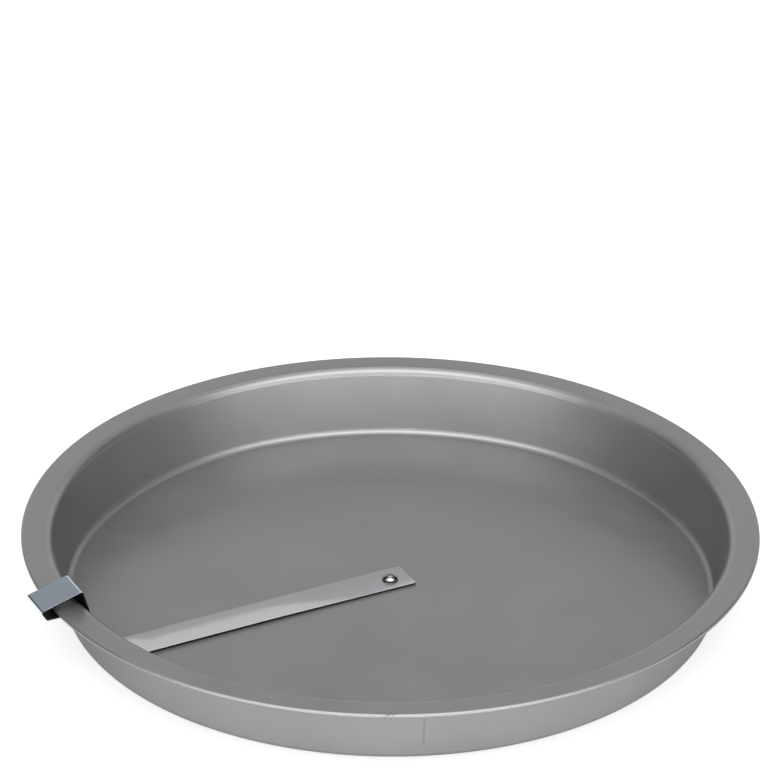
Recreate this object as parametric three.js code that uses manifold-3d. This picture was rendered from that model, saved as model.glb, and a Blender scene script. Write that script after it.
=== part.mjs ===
// Butter cake pan: a pressed steel pan with a cutter strip that swings round a rivet in its floor.
// Millimetres, +Z up. The origin is on the pan's axis, on the surface that the pan stands on.

import * as THREE from 'three';
import { mergeVertices } from 'three/addons/utils/BufferGeometryUtils.js';
import Module from 'manifold-3d';

const wasm = await Module();
wasm.setup();

// Pan
const RIM_RADIUS = 120; // outer edge of the rim
const HEIGHT = 24; // standing surface to the top of the rim
const PAN_SHEET = 0.6; // sheet thickness
const FLANGE_WIDTH = 7; // flat rim, from its outer edge to the shoulder
const SHOULDER_RADIUS = 3.2; // bend from rim to wall, on the upper face
const CORNER_RADIUS = 2.4; // bend from wall to floor, on the inner face
const WALL_LEAN = THREE.MathUtils.degToRad(10);
const HEM_GAP = 0.4; // slit inside the folded edge of the rim
const HEM_LENGTH = 2; // how far the folded edge runs back under the rim
const BASE_RING = 16; // flat ring of the floor that the pan stands on
const FLOOR_CROWN = 0.8; // rise of the floor's middle above that ring

// Cutter
const CUTTER_WIDTH = 12;
const CUTTER_SHEET = 0.5;
const CUTTER_TAIL = 6.6; // strip beyond the rivet's centre
const CUTTER_AZIMUTH = THREE.MathUtils.degToRad(207.3); // where the cutter rests, from +X
const TIP_RADIUS = 0.8; // rounded corners of the strip's inner end
const CORNER_EASE = 0.6; // how much rounder the strip's bend is than the pan's corner
const HOOK_LEAN = THREE.MathUtils.degToRad(15); // lean of the strip where it stands above the rim
const HOOK_RISE = 4.9; // crest of the strip above the rim
const HOOK_REACH = 5; // hook past the rim's outer edge
const CREST_BEND = 0.7; // inside radius of the bend above the rim
const NOSE_RISE = 1.4; // fold past the rim's outer edge, above the rim
const NOSE_BEND = 0.3; // inside radius of that fold
const RETURN_LEAN = THREE.MathUtils.degToRad(30); // lean of the strip from that fold back towards the rim
const GRIP_BEND = 0.6; // inside radius of the bend that leads under the rim
const HOOK_GRIP = 5; // how far the hook runs back under the rim

// Rivet
const SHANK_RADIUS = 1.5;
const HEAD_RADIUS = 2.7;
const HEAD_RISE = 1.5;
const TAIL_RADIUS = 2.6;

// Clearances
const SLIDE_GAP = 0.25; // cutter to pan, rim edge and rivet head
const PIVOT_GAP = 0.25; // cutter's hole round the shank
const SET_GAP = 0.05; // rivet to pan
const STAND_GAP = 0.1; // rivet's tail to the standing surface

// Fineness of the round shapes
const TURN_SEGMENTS = 72; // round the pan
const RIVET_SEGMENTS = 32; // round the rivet and the cutter's hole
const BEND_STEPS = 5; // in each bend of the pan's section, and up the rivet's dome
const HEM_STEPS = 6; // round the outside of the folded edge
const SLIT_STEPS = 3; // round the inside of the folded edge
const CROWN_STEPS = 3; // from the floor's middle to its flat ring
const STRIP_STEP = THREE.MathUtils.degToRad(12); // turn of each step in the cutter's bends

// Pan section, as radius and height
const HEM_RADIUS = PAN_SHEET + HEM_GAP / 2;
const RIM_UNDERSIDE = HEIGHT - 2 * HEM_RADIUS;
const hem = { r: RIM_RADIUS - HEM_RADIUS, z: HEIGHT - HEM_RADIUS };
const shoulder = { r: RIM_RADIUS - FLANGE_WIDTH, z: HEIGHT - SHOULDER_RADIUS };
const cornerZ = PAN_SHEET + CORNER_RADIUS;
const bendSum = SHOULDER_RADIUS + CORNER_RADIUS;
const cornerR = shoulder.r - (shoulder.z - cornerZ) * Math.tan(WALL_LEAN) - bendSum / Math.cos(WALL_LEAN);
const corner = { r: cornerR, z: cornerZ };
const crownRadius = corner.r - BASE_RING;
const floorHole = SHANK_RADIUS + SET_GAP;

// Height of the floor's lower face at a radius
function floorUnder(radius) {
  const share = Math.min(1, Math.abs(radius) / crownRadius);
  return FLOOR_CROWN * (1 - share * share);
}

// Points of an arc round a centre, both ends included
function arc(centre, radius, from, to, steps) {
  return Array.from({ length: steps + 1 }, (_, i) => {
    const angle = from + (to - from) * i / steps;
    return new THREE.Vector2(centre.r + radius * Math.cos(angle), centre.z + radius * Math.sin(angle));
  });
}

// Radii at which the crowned middle of the floor is drawn, from one radius out to the flat ring
function crownRadii(first) {
  return Array.from({ length: CROWN_STEPS + 1 }, (_, i) => first + (crownRadius - first) * i / CROWN_STEPS);
}

// A closed or axis-to-axis section turned round the Z axis
function turned(section, segments) {
  return new THREE.LatheGeometry(section, segments).rotateX(Math.PI / 2);
}

// A closed manifold body from a geometry, and back
function solid(geometry) {
  geometry.deleteAttribute('normal');
  geometry.deleteAttribute('uv');
  const merged = mergeVertices(geometry);
  return new wasm.Manifold(new wasm.Mesh({
    numProp: 3,
    vertProperties: new Float32Array(merged.attributes.position.array),
    triVerts: new Uint32Array(merged.index.array),
  }));
}

function geometryOf(body) {
  const mesh = body.getMesh();
  const geometry = new THREE.BufferGeometry();
  geometry.setAttribute('position', new THREE.BufferAttribute(mesh.vertProperties, 3));
  geometry.setIndex(new THREE.BufferAttribute(mesh.triVerts, 1));
  geometry.computeVertexNormals();
  return geometry;
}

// Pan: floor, corner, wall, shoulder, flat rim and folded edge, drawn as one sheet
function panShell() {
  const crown = crownRadii(floorHole);
  const right = Math.PI / 2;
  const upper = [
    ...crown.map((r) => new THREE.Vector2(r, floorUnder(r) + PAN_SHEET)),
    ...arc(corner, CORNER_RADIUS, -right, -WALL_LEAN, BEND_STEPS),
    ...arc(shoulder, SHOULDER_RADIUS, Math.PI - WALL_LEAN, right, BEND_STEPS),
  ];
  const edge = [
    ...arc(hem, HEM_RADIUS, right, -right, HEM_STEPS),
    new THREE.Vector2(hem.r - HEM_LENGTH, RIM_UNDERSIDE),
    new THREE.Vector2(hem.r - HEM_LENGTH, RIM_UNDERSIDE + PAN_SHEET),
    ...arc(hem, HEM_GAP / 2, -right, right, SLIT_STEPS),
  ];
  const lower = [
    ...arc(shoulder, SHOULDER_RADIUS - PAN_SHEET, right, Math.PI - WALL_LEAN, BEND_STEPS),
    ...arc(corner, CORNER_RADIUS + PAN_SHEET, -WALL_LEAN, -right, BEND_STEPS),
    ...crown.toReversed().map((r) => new THREE.Vector2(r, floorUnder(r))),
  ];
  const section = [...upper, ...edge, ...lower];
  return turned([...section, section[0]].reverse(), TURN_SEGMENTS);
}

// One point of the strip's middle line: heading is the direction of travel, normal points to its left
function station(r, z, heading) {
  const normal = new THREE.Vector2(-Math.sin(heading), Math.cos(heading));
  return { point: new THREE.Vector2(r, z), normal };
}

// Stations round a bend: a positive radius turns left, a negative one turns right
function bend(centre, radius, from, to) {
  const steps = Math.ceil(Math.abs(to - from) / STRIP_STEP);
  return Array.from({ length: steps + 1 }, (_, i) => {
    const heading = from + (to - from) * i / steps;
    const r = centre.r + radius * Math.sin(heading);
    const z = centre.z - radius * Math.cos(heading);
    return station(r, z, heading);
  });
}

// Middle line of the strip, from its end beyond the rivet to its hook's end under the rim
function cutterLine() {
  const half = CUTTER_SHEET / 2;
  const roundInset = corner.r - Math.sqrt(corner.r ** 2 - (CUTTER_WIDTH / 2) ** 2);
  const floorOffset = PAN_SHEET + SLIDE_GAP + half;
  const wallOffset = SLIDE_GAP + roundInset + half;
  const wallHeading = Math.PI / 2 - WALL_LEAN;
  const hookHeading = Math.PI / 2 - HOOK_LEAN;

  const shoulderBend = SHOULDER_RADIUS + wallOffset;
  const footBend = CORNER_RADIUS + CORNER_EASE - half;
  const footRise = floorOffset + footBend;
  const footSum = shoulderBend + footBend;
  const footRun = (shoulder.z - footRise) * Math.tan(WALL_LEAN) + footSum / Math.cos(WALL_LEAN);
  const foot = { r: shoulder.r - footRun, z: footRise };

  const crestBend = CREST_BEND + half;
  const crestZ = HEIGHT + HOOK_RISE - half - crestBend;
  const crestDifference = shoulderBend - crestBend;
  const crestRun = (crestZ - shoulder.z) * Math.tan(HOOK_LEAN) - crestDifference / Math.cos(HOOK_LEAN);
  const crest = { r: shoulder.r + crestRun, z: crestZ };
  const noseBend = NOSE_BEND + half;
  const noseR = RIM_RADIUS + HOOK_REACH - half - noseBend;
  const nose = { r: noseR, z: HEIGHT + NOSE_RISE - half - noseBend };
  const tab = new THREE.Vector2(nose.r - crest.r, nose.z - crest.z);
  const tabHeading = Math.atan2(tab.y, tab.x) + Math.asin((noseBend - crestBend) / tab.length());

  const gripBend = GRIP_BEND + half;
  const hookZ = RIM_UNDERSIDE - SLIDE_GAP - half;
  const gripZ = hookZ + gripBend;
  const gripDifference = gripBend - noseBend;
  const gripRun = (nose.z - gripZ) * Math.tan(RETURN_LEAN) + gripDifference / Math.cos(RETURN_LEAN);
  const grip = { r: nose.r - gripRun, z: gripZ };
  const returnHeading = -Math.PI / 2 - RETURN_LEAN;

  return [
    station(-CUTTER_TAIL, floorUnder(CUTTER_TAIL) + floorOffset, 0),
    ...crownRadii(0).map((r) => station(r, floorUnder(r) + floorOffset, 0)),
    ...bend(foot, footBend, 0, wallHeading),
    ...bend(shoulder, -shoulderBend, wallHeading, hookHeading),
    ...bend(crest, -crestBend, hookHeading, tabHeading),
    ...bend(nose, -noseBend, tabHeading, returnHeading),
    ...bend(grip, -gripBend, returnHeading, -Math.PI),
    station(RIM_RADIUS - HOOK_GRIP, hookZ, -Math.PI),
  ];
}

// Cutter along +X: the bent strip, trimmed to its width with a rounded inner end and holed for the rivet
function cutterStrip() {
  const line = cutterLine();
  const side = (s, sign) => s.point.clone().addScaledVector(s.normal, sign * CUTTER_SHEET / 2);
  const section = [
    ...line.map((s) => side(s, -1)),
    ...line.toReversed().map((s) => side(s, 1)),
  ];
  const blankWidth = CUTTER_WIDTH * 2;
  const flat = { depth: blankWidth, bevelEnabled: false };
  const blank = new THREE.ExtrudeGeometry(new THREE.Shape(section), flat);
  blank.rotateX(Math.PI / 2).translate(0, blankWidth / 2, 0);

  const halfWidth = CUTTER_WIDTH / 2;
  const beyondHook = RIM_RADIUS + HOOK_REACH * 2;
  const plan = new THREE.Shape();
  const tipX = TIP_RADIUS - CUTTER_TAIL;
  const tipY = halfWidth - TIP_RADIUS;
  plan.moveTo(beyondHook, halfWidth);
  plan.lineTo(tipX, halfWidth);
  plan.absarc(tipX, tipY, TIP_RADIUS, Math.PI / 2, Math.PI);
  plan.absarc(tipX, -tipY, TIP_RADIUS, Math.PI, Math.PI * 3 / 2);
  plan.lineTo(beyondHook, -halfWidth);
  const depth = (HEIGHT + HOOK_RISE) * 2;
  const trim = new THREE.ExtrudeGeometry(plan, { depth, bevelEnabled: false, curveSegments: BEND_STEPS });
  trim.translate(0, 0, -depth / 4);

  const holeRadius = SHANK_RADIUS + PIVOT_GAP;
  const hole = new THREE.CylinderGeometry(holeRadius, holeRadius, HEIGHT, RIVET_SEGMENTS);
  hole.rotateX(Math.PI / 2);
  return geometryOf(solid(blank).intersect(solid(trim)).subtract(solid(hole)));
}

// Rivet: domed head over the strip, shank through strip and floor, flat tail under the floor
function pivotRivet() {
  const floorTop = FLOOR_CROWN + PAN_SHEET;
  const headUnder = floorTop + SLIDE_GAP * 2 + CUTTER_SHEET;
  const tailTop = FLOOR_CROWN - SET_GAP;
  const domeRadius = (HEAD_RADIUS ** 2 + HEAD_RISE ** 2) / (2 * HEAD_RISE);
  const dome = { r: 0, z: headUnder + HEAD_RISE - domeRadius };
  const domeEdge = Math.asin((headUnder - dome.z) / domeRadius);
  const head = arc(dome, domeRadius, Math.PI / 2, domeEdge, BEND_STEPS).slice(1);
  const section = [
    new THREE.Vector2(0, headUnder + HEAD_RISE),
    ...head,
    new THREE.Vector2(SHANK_RADIUS, headUnder),
    new THREE.Vector2(SHANK_RADIUS, tailTop),
    new THREE.Vector2(TAIL_RADIUS, tailTop),
    new THREE.Vector2(TAIL_RADIUS, STAND_GAP),
    new THREE.Vector2(0, STAND_GAP),
  ];
  return turned(section.reverse(), RIVET_SEGMENTS);
}

// A named piece with its finish
function piece(name, geometry, color, roughness, metalness) {
  const mesh = new THREE.Mesh(geometry, new THREE.MeshStandardMaterial({ color, roughness, metalness }));
  mesh.name = name;
  return mesh;
}

const pan = new THREE.Group();
pan.add(piece('pan_shell', panShell(), 0x8a8887, 0.5, 0.6));
pan.add(piece('pivot_rivet', pivotRivet(), 0xd4d5d8, 0.15, 1));

const cutter = new THREE.Group();
cutter.rotation.z = CUTTER_AZIMUTH;
cutter.add(piece('cutter_strip', cutterStrip(), 0xa3a9b0, 0.3, 1));
pan.add(cutter);

export default pan;
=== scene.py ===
"""Butter cake pan with a cutter strip: its finished surfaces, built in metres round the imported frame."""

import math

import bmesh
import bpy
from mathutils import Matrix, Vector


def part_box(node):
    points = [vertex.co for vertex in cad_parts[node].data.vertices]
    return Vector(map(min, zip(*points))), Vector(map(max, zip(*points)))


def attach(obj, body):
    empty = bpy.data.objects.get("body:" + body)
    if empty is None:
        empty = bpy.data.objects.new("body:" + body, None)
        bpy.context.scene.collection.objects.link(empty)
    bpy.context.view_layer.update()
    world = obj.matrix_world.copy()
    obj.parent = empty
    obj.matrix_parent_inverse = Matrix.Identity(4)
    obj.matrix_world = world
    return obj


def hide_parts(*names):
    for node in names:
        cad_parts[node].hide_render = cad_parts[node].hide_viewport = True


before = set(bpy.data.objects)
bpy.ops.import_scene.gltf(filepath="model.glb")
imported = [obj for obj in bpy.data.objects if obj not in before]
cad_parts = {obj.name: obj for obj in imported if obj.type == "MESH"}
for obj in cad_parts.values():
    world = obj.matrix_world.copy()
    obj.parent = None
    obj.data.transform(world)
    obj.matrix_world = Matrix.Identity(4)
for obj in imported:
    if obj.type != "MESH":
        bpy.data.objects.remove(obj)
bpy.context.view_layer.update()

MM = 0.001
RIGHT = math.pi / 2

# Pan, with its outside sizes from the frame
pan_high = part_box("pan_shell")[1]
RIM_RADIUS = pan_high.x
HEIGHT = pan_high.z
PAN_SHEET = 0.6 * MM
FLANGE_WIDTH = 7.0 * MM
SHOULDER_RADIUS = 3.2 * MM
CORNER_RADIUS = 2.4 * MM
WALL_LEAN = math.radians(10)
HEM_GAP = 0.4 * MM
HEM_LENGTH = 2.0 * MM
BASE_RING = 16.0 * MM
FLOOR_CROWN = 0.8 * MM

# Rivet, with its head from the frame
rivet_low, rivet_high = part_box("pivot_rivet")
HEAD_RADIUS = rivet_high.x
HEAD_RISE = 1.5 * MM
HEAD_EDGE = 0.12 * MM
SHANK_RADIUS = 1.5 * MM
TAIL_RADIUS = 2.6 * MM

# Cutter, with its crest from the frame
CREST_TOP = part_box("cutter_strip")[1].z
CUTTER_WIDTH = 12.0 * MM
CUTTER_SHEET = 0.5 * MM
CUTTER_TAIL = 6.6 * MM
CUTTER_AZIMUTH = math.radians(207.3)
TWIST_INNER = math.radians(-0.6)
TWIST_MIDDLE = math.radians(1.05)
TWIST_OUTER = math.radians(1.5)
TWIST_START = 12.0 * MM
TWIST_BREAK = 48.0 * MM
TWIST_FADE = 96.0 * MM
TWIST_END = 103.0 * MM
DISH = 0.055 * MM
TIP_RADIUS = 0.8 * MM
EDGE_BEVEL = 0.05 * MM
CORNER_EASE = 0.6 * MM
HOOK_LEAN = math.radians(15)
HOOK_REACH = 5.0 * MM
CREST_BEND = 0.7 * MM
NOSE_RISE = 1.4 * MM
NOSE_BEND = 0.3 * MM
RETURN_LEAN = math.radians(30)
GRIP_BEND = 0.6 * MM
HOOK_GRIP = 5.0 * MM

# Clearances
SLIDE_GAP = 0.25 * MM
PIVOT_GAP = 0.25 * MM
SET_GAP = 0.05 * MM

# Fineness
PAN_SEGMENTS = 288
RIVET_SEGMENTS = 64
ARC_STEP = math.radians(7)
RUN_STEP = 6.0 * MM
STRIP_STEP = 1.5 * MM
STRIP_LANES = 6
TIP_STEPS = 8
TIP_LAYERS = 6
SUPPORT = 0.2 * MM
WELD = 0.001 * MM
SHARP = math.radians(40)

# Camera, as fitted to the photograph
CAMERA_ELEVATION = math.radians(29.88)
CAMERA_DISTANCE = 1.26
CAMERA_LENS = 176.65
CAMERA_SENSOR = 36.0
CAMERA_NEAR = 0.05
CAMERA_ROLL = math.radians(0.32)
CAMERA_AIM = Vector((-0.0004, 0, 0.0717))

# Marks of use on the pan
RUB_PLACE = Vector((0.5, -119.9, 22.4)) * MM
RUB_REACH = 2.8 * MM
RUB_STRENGTH = 0.65
CHIP_PLACE = Vector((-83.8, 65.6, 4.4)) * MM
CHIP_REACH = 0.9 * MM
CHIP_STRENGTH = 0.45
LINE_PLACE = 10.5 * MM
LINE_STRENGTH = 0.35

# Colours, most as a darker and a lighter one that the finish varies between
COAT = (0.308, 0.302, 0.304, 1), (0.358, 0.351, 0.354, 1)
COAT_TINT = (0.4, 0.4, 0.4, 1)
COAT_MARK = (0.09, 0.088, 0.086, 1)
PLATE = (0.508, 0.521, 0.539, 1), (0.556, 0.569, 0.594, 1)
PLATE_BLUED = (0.45, 0.525, 0.605, 1), (0.498, 0.573, 0.658, 1)
# Dark of the cut edges, partly bare steel and partly painted shade, and of the underside, which is painted
# shade alone
BARE_EDGE_AND_PAINTED_SHADE = (0.03, 0.03, 0.032, 1)
POLISH = (0.28, 0.28, 0.285, 1), (0.36, 0.36, 0.365, 1)
WHITE = (1, 1, 1, 1)

# Studio
AMBIENT_LEVEL = 0.75
LAMP_DISTANCE = 1.5
LAMP_WIDTH = 3.2
CARD_STEPS = 24
CARD_DISTANCE = 2.5
BACK_CARD_LEVEL = 0.28
SIDE_CARD_LEVEL = 0.01
FRONT_CARD_LEVEL = 0.7
LOW_CARD_LEVEL = 5.4
FLOOR_RADIUS = 4.0
FLOOR_SIDES = 64
FLOOR_ALBEDO = 0.45
FLOOR_GLOW = 0.66

# Measures that several pieces share
hem_radius = PAN_SHEET + HEM_GAP / 2
rim_underside = HEIGHT - 2 * hem_radius
hem = Vector((RIM_RADIUS - hem_radius, HEIGHT - hem_radius))
shoulder = Vector((RIM_RADIUS - FLANGE_WIDTH, HEIGHT - SHOULDER_RADIUS))
corner_z = PAN_SHEET + CORNER_RADIUS
corner_run = (shoulder.y - corner_z) * math.tan(WALL_LEAN)
corner_run += (SHOULDER_RADIUS + CORNER_RADIUS) / math.cos(WALL_LEAN)
corner = Vector((shoulder.x - corner_run, corner_z))
crown_radius = corner.x - BASE_RING
strip_half = CUTTER_SHEET / 2
strip_floor = PAN_SHEET + SLIDE_GAP + strip_half
half_width = CUTTER_WIDTH / 2


def floor_under(radius):
    """Height of the floor's lower face at a radius."""
    share = min(1, abs(radius) / crown_radius)
    return FLOOR_CROWN * (1 - share * share)


def arc(centre, radius, start, end):
    """Points round a centre in a section, both ends included."""
    steps = max(3, math.ceil(abs(end - start) / ARC_STEP))
    angles = [start + (end - start) * i / steps for i in range(steps + 1)]
    return [centre + radius * Vector((math.cos(a), math.sin(a))) for a in angles]


def run(start, end):
    """Points between two ends of a straight stretch, with one close to each end to keep the shading flat."""
    length = (end - start).length
    if length < 4 * SUPPORT:
        return []
    steps = math.ceil(length / RUN_STEP)
    shares = [SUPPORT / length] + [i / steps for i in range(1, steps)] + [1 - SUPPORT / length]
    return [start.lerp(end, share) for share in shares]


def joined(*stretches):
    """One line through several stretches, with the straight runs between them filled in."""
    points = list(stretches[0])
    for stretch in stretches[1:]:
        points += run(points[-1], stretch[0]) + list(stretch)
    return points


def mesh_piece(name, points, faces, body, node, material, bare_edge_and_painted_shade=None):
    """A smooth mesh that replaces a node of the frame and rides on its body.

    Where given, the darkening values tell how far each point is darkened: partly as a bare cut edge, partly
    as painted shade.
    """
    mesh = bpy.data.meshes.new(name)
    mesh.from_pydata(points, [], faces)
    if bare_edge_and_painted_shade:
        mesh.attributes.new("bare_edge_and_painted_shade", "FLOAT", "POINT").data.foreach_set("value", bare_edge_and_painted_shade)
    work = bmesh.new()
    work.from_mesh(mesh)
    bmesh.ops.remove_doubles(work, verts=work.verts, dist=WELD)
    bmesh.ops.recalc_face_normals(work, faces=work.faces)
    work.to_mesh(mesh)
    work.free()
    mesh.shade_smooth()
    mesh.set_sharp_from_angle(angle=SHARP)
    mesh.materials.append(material)
    piece = bpy.data.objects.new(name, mesh)
    bpy.context.scene.collection.objects.link(piece)
    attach(piece, body)
    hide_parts(node)
    return piece


def turned(section, segments, closed):
    """Points and faces of a section turned round the Z axis. A closed section ends where it starts."""
    count = len(section)
    points = []
    for turn in range(segments):
        angle = 2 * math.pi * turn / segments
        points += [(p.x * math.cos(angle), p.x * math.sin(angle), p.y) for p in section]
    faces = []
    for turn in range(segments):
        here = turn * count
        there = (turn + 1) % segments * count
        for i in range(count if closed else count - 1):
            j = (i + 1) % count
            faces.append((here + i, here + j, there + j, there + i))
    return points, faces


def build_pan(material):
    """Floor, corner, wall, shoulder, flat rim and folded edge, drawn as one sheet."""
    hole = SHANK_RADIUS + SET_GAP
    steps = math.ceil((crown_radius - hole) / RUN_STEP)
    crown = [hole + (crown_radius - hole) * i / steps for i in range(steps + 1)]
    under = [Vector((r, floor_under(r))) for r in crown]
    over = [p + Vector((0, PAN_SHEET)) for p in under]
    fold = hem.x - HEM_LENGTH
    section = joined(
        over,
        arc(corner, CORNER_RADIUS, -RIGHT, -WALL_LEAN),
        arc(shoulder, SHOULDER_RADIUS, math.pi - WALL_LEAN, RIGHT),
        arc(hem, hem_radius, RIGHT, -RIGHT),
        [Vector((fold, rim_underside)), Vector((fold, rim_underside + PAN_SHEET))],
        arc(hem, HEM_GAP / 2, -RIGHT, RIGHT),
        arc(shoulder, SHOULDER_RADIUS - PAN_SHEET, RIGHT, math.pi - WALL_LEAN),
        arc(corner, CORNER_RADIUS + PAN_SHEET, -WALL_LEAN, -RIGHT),
        under[::-1],
    )
    points, faces = turned(section, PAN_SEGMENTS, closed=True)
    mesh_piece("pan_body", points, faces, "pan", "pan_shell", material)


def build_rivet(material):
    """Domed head with a rounded edge, shank, and flat tail under the floor."""
    head_under = rivet_high.z - HEAD_RISE
    tail_top = FLOOR_CROWN - SET_GAP
    dome_radius = (HEAD_RADIUS ** 2 + HEAD_RISE ** 2) / (2 * HEAD_RISE)
    dome = Vector((0, rivet_high.z - dome_radius))
    slope = math.asin((head_under - dome.y) / dome_radius)
    edge = Vector((HEAD_RADIUS - HEAD_EDGE, head_under + HEAD_EDGE))
    section = arc(dome, dome_radius, RIGHT, slope + HEAD_EDGE / HEAD_RADIUS * 2)
    section += arc(edge, HEAD_EDGE, slope, -RIGHT)
    section += [
        Vector((SHANK_RADIUS, head_under)),
        Vector((SHANK_RADIUS, tail_top)),
        Vector((TAIL_RADIUS, tail_top)),
        Vector((TAIL_RADIUS, rivet_low.z)),
        Vector((0, rivet_low.z)),
    ]
    points, faces = turned(section, RIVET_SEGMENTS, closed=False)
    mesh_piece("rivet", points, faces, "pan", "pivot_rivet", material)


def bend(centre, radius, start, end):
    """Places and headings round a bend of the strip: a positive radius turns left, a negative one right."""
    steps = max(3, math.ceil(abs(end - start) / ARC_STEP))
    headings = [start + (end - start) * i / steps for i in range(steps + 1)]
    return [(centre + radius * Vector((math.sin(h), -math.cos(h))), h) for h in headings]


def straight(first, last):
    """Places between two stations of the strip, with the heading of the way between them."""
    heading = first[1]
    return [(p, heading) for p in run(first[0], last[0])]


def cutter_line():
    """Middle line of the strip from beside the rivet to the hook's end, as places with headings."""
    inset = corner.x - math.sqrt(corner.x ** 2 - half_width ** 2)
    wall_heading = RIGHT - WALL_LEAN
    hook_heading = RIGHT - HOOK_LEAN
    shoulder_bend = SHOULDER_RADIUS + SLIDE_GAP + inset + strip_half
    foot_bend = CORNER_RADIUS + CORNER_EASE - strip_half
    foot_z = strip_floor + foot_bend
    foot_run = (shoulder.y - foot_z) * math.tan(WALL_LEAN)
    foot_run += (shoulder_bend + foot_bend) / math.cos(WALL_LEAN)
    foot = Vector((shoulder.x - foot_run, foot_z))

    crest_bend = CREST_BEND + strip_half
    crest_z = CREST_TOP - strip_half - crest_bend
    crest_run = (crest_z - shoulder.y) * math.tan(HOOK_LEAN)
    crest_run -= (shoulder_bend - crest_bend) / math.cos(HOOK_LEAN)
    crest = Vector((shoulder.x + crest_run, crest_z))
    nose_bend = NOSE_BEND + strip_half
    nose_inset = strip_half + nose_bend
    nose = Vector((RIM_RADIUS + HOOK_REACH - nose_inset, HEIGHT + NOSE_RISE - nose_inset))
    tab = nose - crest
    tab_heading = math.atan2(tab.y, tab.x) + math.asin((nose_bend - crest_bend) / tab.length)

    hook_z = rim_underside - SLIDE_GAP - strip_half
    grip_bend = GRIP_BEND + strip_half
    grip_z = hook_z + grip_bend
    grip_run = (nose.y - grip_z) * math.tan(RETURN_LEAN)
    grip_run += (grip_bend - nose_bend) / math.cos(RETURN_LEAN)
    grip = Vector((nose.x - grip_run, grip_z))
    return_heading = -RIGHT - RETURN_LEAN

    steps = math.ceil((foot.x - CUTTER_TAIL) / STRIP_STEP)
    along = [CUTTER_TAIL + (foot.x - CUTTER_TAIL) * i / steps for i in range(steps)]
    line = [(Vector((r, floor_under(r) + strip_floor)), 0) for r in along]
    for centre, radius, start, end in (
        (foot, foot_bend, 0, wall_heading),
        (shoulder, -shoulder_bend, wall_heading, hook_heading),
        (crest, -crest_bend, hook_heading, tab_heading),
        (nose, -nose_bend, tab_heading, return_heading),
        (grip, -grip_bend, return_heading, -math.pi),
    ):
        turn = bend(centre, radius, start, end)
        if start:
            line += straight(line[-1], turn[0])
        line += turn
    end = (Vector((RIM_RADIUS - HOOK_GRIP, hook_z)), -math.pi)
    return line + straight(line[-1], end) + [end]


def edge_profile():
    """Outward reach and height of each step down the strip's bevelled cut edge."""
    upper = [(0, strip_half), (EDGE_BEVEL, strip_half - EDGE_BEVEL)]
    return upper + [(out, -height) for out, height in reversed(upper)]


def share_between(value, low, high):
    """How far a value is from one limit to another, held at both."""
    return max(0, min(1, (value - low) / (high - low)))


def unevenness(along, across):
    """How far the strip lies off its middle line: on the floor it is slightly dished and twisted."""
    first = share_between(along, TWIST_START, TWIST_BREAK)
    second = share_between(along, TWIST_BREAK, TWIST_FADE)
    kept = 1 - share_between(along, TWIST_FADE, TWIST_END)
    roll = TWIST_INNER + (TWIST_MIDDLE - TWIST_INNER) * first * first * (3 - 2 * first)
    roll += (TWIST_OUTER - TWIST_MIDDLE) * second
    return kept * (roll * across + DISH * (across / half_width) ** 2)


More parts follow.
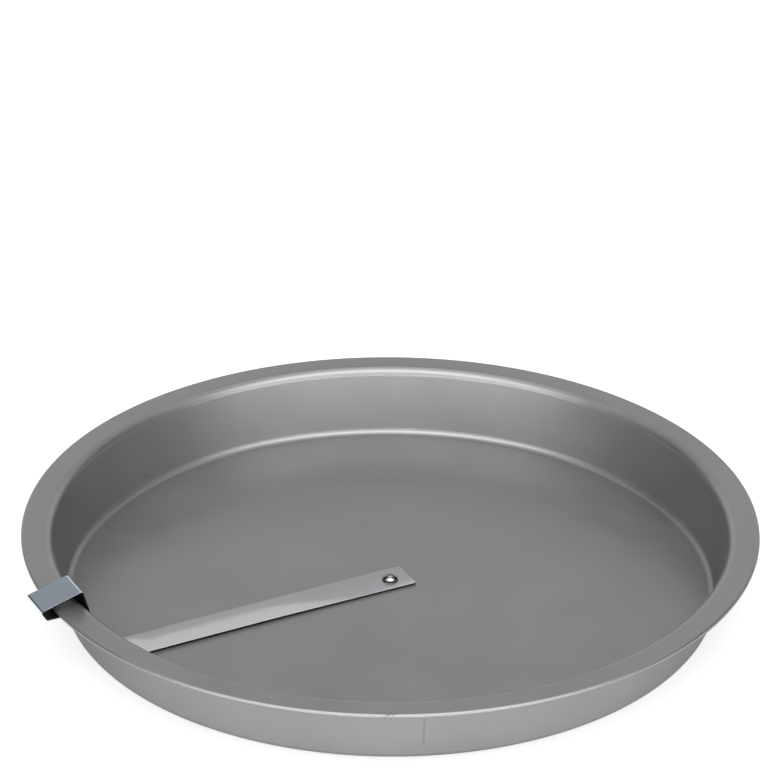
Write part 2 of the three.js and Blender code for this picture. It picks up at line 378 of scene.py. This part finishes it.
def build_cutter(material):
    """Strip with bevelled cut edges, a rounded inner end, and a hole for the rivet."""
    inner = half_width - EDGE_BEVEL
    lanes = [-inner, SUPPORT - inner]
    lanes += [half_width * i / STRIP_LANES for i in range(1 - STRIP_LANES, STRIP_LANES)]
    lanes += [inner - SUPPORT, inner]
    profile = edge_profile()
    points = []
    faces = []
    # How far each point is darkened: the cut edges as bare steel plus painted shade, the underside with
    # painted shade alone
    bare_edge_and_painted_shade = []

    # Rings round the strip from beside the rivet to the hook's end
    right = [(inner + out, height) for out, height in profile]
    left = [(-across, height) for across, height in reversed(right)]
    ring = [(across, strip_half) for across in lanes] + right[1:-1]
    ring += [(across, -strip_half) for across in reversed(lanes)] + left[1:-1]
    for place, heading in cutter_line():
        normal = Vector((-math.sin(heading), math.cos(heading)))
        for across, height in ring:
            p = place + normal * (height + unevenness(place.x, across))
            points.append((p.x, across, p.y))
        bare_edge_and_painted_shade += [0.0] * len(lanes) + [1.0] * (len(ring) - len(lanes))
    count = len(ring)
    rings = len(points) // count
    for i in range(rings - 1):
        for j in range(count):
            k = (j + 1) % count
            faces.append((i * count + j, i * count + k, (i + 1) * count + k, (i + 1) * count + j))
    faces.append(tuple(range((rings - 1) * count, rings * count)))

    # Inner end: an outline from one edge round the tip to the other, spread out from the hole
    tip = TIP_RADIUS - EDGE_BEVEL
    tip_x = TIP_RADIUS - CUTTER_TAIL
    tip_y = half_width - TIP_RADIUS
    side = [CUTTER_TAIL + (tip_x - CUTTER_TAIL) * i / TIP_STEPS for i in range(TIP_STEPS)]
    outline = [(Vector((CUTTER_TAIL, across)), None) for across in lanes[1:-1]]
    outline += [(Vector((x, inner)), Vector((0, 1))) for x in side]

    def rounded(centre, start):
        """Points of the outline round one corner of the tip."""
        turns = [start + RIGHT * i / TIP_STEPS for i in range(TIP_STEPS + 1)]
        outs = [Vector((math.cos(turn), math.sin(turn))) for turn in turns]
        return [(centre + tip * out, out) for out in outs]

    # The tip's straight end has points too, so that the hole stays round on that side
    outline += rounded(Vector((tip_x, tip_y)), RIGHT)
    across_end = [tip_y * (1 - 2 * i / TIP_STEPS) for i in range(1, TIP_STEPS)]
    outline += [(Vector((tip_x - tip, y)), Vector((-1, 0))) for y in across_end]
    outline += rounded(Vector((tip_x, -tip_y)), math.pi)
    outline += [(Vector((x, -inner)), Vector((0, -1))) for x in reversed(side)]
    hole = SHANK_RADIUS + PIVOT_GAP

    def lift(p, height):
        """A point of the inner end on the strip at a height over its middle."""
        return (p.x, p.y, floor_under(p.x) + strip_floor + height + unevenness(p.x, p.y))

    def sheet(rows, around, shades):
        """Points and faces of rows that each go round the inner end, and how far each row is darkened, as
        bare edge and painted shade.
        """
        first = len(points)
        closed = around == len(outline)
        for row, shade in zip(rows, shades):
            points.extend(row)
            bare_edge_and_painted_shade.extend([shade] * len(row))
        for i in range(len(rows) - 1):
            for j in range(around if closed else around - 1):
                k = (j + 1) % around
                a, b = first + i * around, first + (i + 1) * around
                faces.append((a + j, a + k, b + k, b + j))

    # The upper face stays plain; the underside gets painted shade
    for height, shade in ((strip_half, 0.0), (-strip_half, 1.0)):
        rows = []
        for layer in range(TIP_LAYERS + 1):
            share = layer / TIP_LAYERS
            rows.append([lift((p.normalized() * hole).lerp(p, share), height) for p, _ in outline])
        sheet(rows, len(outline), [shade] * len(rows))
    bore = [[lift(p.normalized() * hole, h) for p, _ in outline] for h in (strip_half, -strip_half)]
    sheet(bore, len(outline), (0.0, 1.0))
    rim = [(p, out) for p, out in outline if out]
    rows = [[lift(p + out * step, height) for p, out in rim] for step, height in profile]
    sheet(rows, len(rim), [0.0] + [1.0] * (len(rows) - 1))

    piece = mesh_piece("cutter", points, faces, "cutter", "cutter_strip", material, bare_edge_and_painted_shade)
    piece.data.transform(Matrix.Rotation(CUTTER_AZIMUTH, 4, "Z"))


class Nodes:
    """A short way to write a node tree."""

    def __init__(self, tree):
        self.tree = tree
        tree.nodes.clear()

    def add(self, kind, inputs=None, **settings):
        """A node with its settings, and with inputs given as values or as sockets to link."""
        node = self.tree.nodes.new(kind)
        for name, value in settings.items():
            setattr(node, name, value)
        for name, value in (inputs or {}).items():
            if isinstance(value, bpy.types.NodeSocket):
                self.tree.links.new(value, node.inputs[name])
            else:
                node.inputs[name].default_value = value
        return node

    def math(self, operation, a, b=0.0, clamp=False):
        """A sum, product or comparison of two values."""
        return self.add("ShaderNodeMath", {0: a, 1: b}, operation=operation, use_clamp=clamp).outputs[0]

    def noise(self, vector, scale, detail=2.0, roughness=0.5):
        """Noise about one half, with features of one over the scale in metres."""
        inputs = {"Vector": vector, "Scale": scale, "Detail": detail, "Roughness": roughness}
        return self.add("ShaderNodeTexNoise", inputs).outputs["Fac"]

    def spread(self, value, low, high, start=0.0, end=1.0):
        """A value moved from one range to another, held at its ends."""
        inputs = {"Value": value, "From Min": low, "From Max": high, "To Min": start, "To Max": end}
        return self.add("ShaderNodeMapRange", inputs).outputs["Result"]

    def blend(self, factor, first, second):
        """A colour between two."""
        node = self.add("ShaderNodeMix", data_type="RGBA")
        sockets = (node.inputs[0], node.inputs[6], node.inputs[7])
        for socket, value in zip(sockets, (factor, first, second)):
            if isinstance(value, bpy.types.NodeSocket):
                self.tree.links.new(value, socket)
            else:
                socket.default_value = value
        return node.outputs[2]

    def surface(self, **inputs):
        """The material's shader, wired to its output."""
        named = {}
        for name, value in inputs.items():
            named[name.replace("_", " ").title().replace("Ior", "IOR")] = value
        shader = self.add("ShaderNodeBsdfPrincipled", named)
        self.add("ShaderNodeOutputMaterial", {"Surface": shader.outputs[0]})


def new_material(name):
    """An empty node material and the writer of its tree."""
    material = bpy.data.materials.new(name)
    material.use_nodes = True
    return material, Nodes(material.node_tree)


def pan_coat():
    """Satin silver-grey coat: fine metal flake, faint clouds and a slight orange peel."""
    material, n = new_material("satin_coat")
    place = n.add("ShaderNodeTexCoord").outputs["Object"]
    clouds = n.spread(n.noise(place, scale=30.0, detail=3.0), 0.3, 0.7, -0.25, 0.25)
    flake = n.spread(n.noise(place, scale=2600.0, detail=1.0), 0.2, 0.8, 0.3, 0.7)
    coat = n.blend(n.math("ADD", clouds, flake, clamp=True), *COAT)
    colour = n.blend(pan_marks(n, place), coat, COAT_MARK)
    roughness = n.spread(n.noise(place, scale=60.0, detail=4.0), 0.3, 0.7, 0.36, 0.41)
    peel = n.noise(place, scale=900.0, detail=2.0)
    bump = n.add("ShaderNodeBump", {"Height": peel, "Strength": 0.12, "Distance": 0.02 * MM})
    n.surface(
        base_color=colour, metallic=0.8, roughness=roughness,
        specular_tint=COAT_TINT, normal=bump.outputs[0],
    )
    return material


def pan_marks(n, place):
    """Where the coat is marked: a rubbed spot on the rim, a line down the wall beside it, and a chip."""
    x, y, z = n.add("ShaderNodeSeparateXYZ", {0: place}).outputs
    facing = n.add("ShaderNodeTexCoord").outputs["Normal"]
    forward = n.add("ShaderNodeSeparateXYZ", {0: facing}).outputs["Y"]
    specks = n.spread(n.noise(place, scale=1100.0, detail=2.0), 0.52, 0.60, 0.0, RUB_STRENGTH)
    marks = []
    for point, reach, strength in (
        (RUB_PLACE, RUB_REACH, specks),
        (CHIP_PLACE, CHIP_REACH, CHIP_STRENGTH),
    ):
        way = n.add("ShaderNodeVectorMath", {0: place, 1: point}, operation="DISTANCE")
        near = n.spread(way.outputs["Value"], reach, reach * 0.5)
        marks.append(n.math("MULTIPLY", near, strength))
    beside = n.math("ABSOLUTE", n.math("SUBTRACT", x, LINE_PLACE))
    line = n.math("MULTIPLY", n.spread(beside, 0.35 * MM, 0.1 * MM), n.spread(z, 4.0 * MM, 7.0 * MM))
    line = n.math("MULTIPLY", line, n.spread(y, -100.0 * MM, -104.0 * MM))
    line = n.math("MULTIPLY", line, n.spread(forward, -0.3, -0.6))
    line = n.math("MULTIPLY", line, n.spread(z, 19.0 * MM, 18.0 * MM, 0.0, LINE_STRENGTH))
    return n.math("MAXIMUM", n.math("MAXIMUM", *marks), line)


def cutter_steel():
    """Bright plated strip, blued by heat towards its hook, with fine lines along it; its cut edges are
    darker, partly as bare steel and partly as painted shade, and its underside is dark with painted shade.
    """
    material, n = new_material("plated_steel")
    place = n.add("ShaderNodeTexCoord").outputs["Object"]
    turn = n.add("ShaderNodeMapping", {"Vector": place, "Rotation": (0, 0, -CUTTER_AZIMUTH)})
    stretch = n.add("ShaderNodeMapping", {"Vector": turn.outputs[0], "Scale": (0.03, 1, 0.03)})
    grain = n.noise(stretch.outputs[0], scale=3000.0, detail=3.0, roughness=0.6)
    clouds = n.spread(n.noise(place, scale=120.0, detail=3.0), 0.3, 0.7, 0.0, 0.4)
    # Painted shade: the underside is taken dark, and the cut edges too, partly as bare steel
    edge = n.add("ShaderNodeAttribute", attribute_name="bare_edge_and_painted_shade").outputs["Fac"]
    tone = n.math("ADD", n.spread(grain, 0.3, 0.7, 0.3, 0.5), clouds, clamp=True)
    plain = n.blend(tone, *PLATE)
    blued = n.blend(tone, *PLATE_BLUED)
    along = n.add("ShaderNodeSeparateXYZ", {0: turn.outputs[0]}).outputs["X"]
    face = n.blend(n.spread(along, corner.x, RIM_RADIUS - FLANGE_WIDTH), plain, blued)
    colour = n.blend(edge, face, BARE_EDGE_AND_PAINTED_SHADE)
    smooth = n.spread(grain, 0.3, 0.7, 0.30, 0.36)
    roughness = n.math("MAXIMUM", smooth, n.math("MULTIPLY", edge, 0.5))
    bump = n.add("ShaderNodeBump", {"Height": grain, "Strength": 0.06, "Distance": 0.005 * MM})
    swell = n.noise(place, scale=180.0)
    waves = n.add("ShaderNodeBump", {"Height": swell, "Strength": 0.3, "Distance": 0.02 * MM})
    n.surface(
        base_color=colour, metallic=1.0, roughness=roughness, normal=bump.outputs[0],
        coat_weight=n.math("SUBTRACT", 1.0, edge), coat_roughness=0.05, coat_ior=2.25,
        coat_normal=waves.outputs[0],
    )
    return material


def rivet_steel():
    """Polished steel, slightly uneven from handling."""
    material, n = new_material("polished_steel")
    place = n.add("ShaderNodeTexCoord").outputs["Object"]
    rub = n.noise(place, scale=1500.0, detail=3.0)
    colour = n.blend(rub, *POLISH)
    roughness = n.spread(rub, 0.3, 0.7, 0.05, 0.09)
    n.surface(base_color=colour, metallic=1.0, roughness=roughness)
    return material


def seen_directly(n):
    """One for rays that show the background: straight to the camera, or by way of metal or glass."""
    path = n.add("ShaderNodeLightPath").outputs
    shown = n.math("MAXIMUM", path["Is Camera Ray"], path["Is Glossy Ray"])
    return n.math("MAXIMUM", shown, path["Is Transmission Ray"])


def build_floor():
    """Pale floor that keeps the pan's shadow and is white where nothing shades it."""
    mesh = bpy.data.meshes.new("floor")
    turns = [2 * math.pi * i / FLOOR_SIDES for i in range(FLOOR_SIDES)]
    rim = [(FLOOR_RADIUS * math.cos(a), FLOOR_RADIUS * math.sin(a), -WELD) for a in turns]
    mesh.from_pydata(rim, [], [tuple(range(FLOOR_SIDES))])
    material, n = new_material("floor_paper")
    paper = n.add("ShaderNodeBsdfDiffuse", {"Color": (FLOOR_ALBEDO, FLOOR_ALBEDO, FLOOR_ALBEDO, 1)})
    lift = n.math("MULTIPLY", seen_directly(n), FLOOR_GLOW)
    glow = n.add("ShaderNodeEmission", {"Color": WHITE, "Strength": lift})
    both = n.add("ShaderNodeAddShader", {0: paper.outputs[0], 1: glow.outputs[0]})
    n.add("ShaderNodeOutputMaterial", {"Surface": both.outputs[0]})
    mesh.materials.append(material)
    floor = bpy.data.objects.new("floor", mesh)
    bpy.context.scene.collection.objects.link(floor)


def build_world():
    """White surroundings, with a softer level for the light that they shed."""
    world = bpy.data.worlds.new("studio")
    world.use_nodes = True
    bpy.context.scene.world = world
    n = Nodes(world.node_tree)
    strength = n.spread(seen_directly(n), 0.0, 1.0, AMBIENT_LEVEL, 1.0)
    back = n.add("ShaderNodeBackground", {"Color": WHITE, "Strength": strength})
    n.add("ShaderNodeOutputWorld", {"Surface": back.outputs[0]})


def build_card(name, level, azimuth, width, low, high):
    """Glowing card, out of the camera's sight, that only the metal mirrors.

    It is bent round the pan between two elevations. Azimuth 0 is the camera's side.
    """
    mesh = bpy.data.meshes.new(name)
    turns = [math.radians(azimuth + width * (i / CARD_STEPS - 0.5)) for i in range(CARD_STEPS + 1)]
    rows = [CARD_DISTANCE * math.tan(math.radians(rise)) for rise in (low, high)]
    ring = [(CARD_DISTANCE * math.sin(t), -CARD_DISTANCE * math.cos(t)) for t in turns]
    points = [(x, y, z) for z in rows for x, y in ring]
    faces = [(i, i + 1, i + CARD_STEPS + 2, i + CARD_STEPS + 1) for i in range(CARD_STEPS)]
    mesh.from_pydata(points, [], faces)
    material, n = new_material(name)
    glow = n.add("ShaderNodeEmission", {"Color": WHITE, "Strength": level})
    n.add("ShaderNodeOutputMaterial", {"Surface": glow.outputs[0]})
    mesh.materials.append(material)
    card = bpy.data.objects.new(name, mesh)
    card.visible_camera = False
    card.visible_diffuse = False
    card.visible_shadow = False
    bpy.context.scene.collection.objects.link(card)


def softbox(name, elevation, height, power):
    """A rectangular soft light on the camera's side, aimed at the pan."""
    lamp = bpy.data.lights.new(name, "AREA")
    lamp.shape = "RECTANGLE"
    lamp.size = LAMP_WIDTH
    lamp.size_y = height
    lamp.energy = power
    rise = math.radians(elevation)
    back = Vector((0, -math.cos(rise), math.sin(rise)))
    light = bpy.data.objects.new(name, lamp)
    light.location = back * LAMP_DISTANCE
    light.rotation_euler = back.to_track_quat("Z", "Y").to_euler()
    bpy.context.scene.collection.objects.link(light)


def build_camera():
    """Long lens from the front, aimed a little above the pan, as the photograph is framed."""
    data = bpy.data.cameras.new("camera")
    data.lens = CAMERA_LENS
    data.sensor_width = CAMERA_SENSOR
    data.clip_start = CAMERA_NEAR
    camera = bpy.data.objects.new("camera", data)
    flat = math.cos(CAMERA_ELEVATION)
    camera.location = CAMERA_DISTANCE * Vector((0, -flat, math.sin(CAMERA_ELEVATION)))
    back = (camera.location - CAMERA_AIM).normalized()
    turn = back.to_track_quat("Z", "Y").to_matrix() @ Matrix.Rotation(CAMERA_ROLL, 3, "Z")
    camera.rotation_euler = turn.to_euler()
    bpy.context.scene.collection.objects.link(camera)
    bpy.context.scene.camera = camera


build_camera()
build_pan(pan_coat())
build_cutter(cutter_steel())
build_rivet(rivet_steel())
build_floor()
build_world()
build_card("back_card", BACK_CARD_LEVEL, azimuth=180, width=90, low=29.5, high=58)
build_card("left_card", SIDE_CARD_LEVEL, azimuth=-99, width=72, low=0, high=74)
build_card("right_card", SIDE_CARD_LEVEL, azimuth=99, width=72, low=0, high=74)
build_card("front_card", FRONT_CARD_LEVEL, azimuth=0, width=126, low=11, high=54)
build_card("low_card", LOW_CARD_LEVEL, azimuth=0, width=126, low=0, high=11)
softbox("front_softbox", elevation=50, height=0.6, power=13.0)
softbox("high_softbox", elevation=68, height=0.6, power=12.0)
softbox("top_softbox", elevation=90, height=1.6, power=5.0)
bpy.context.scene.view_settings.view_transform = "Standard"
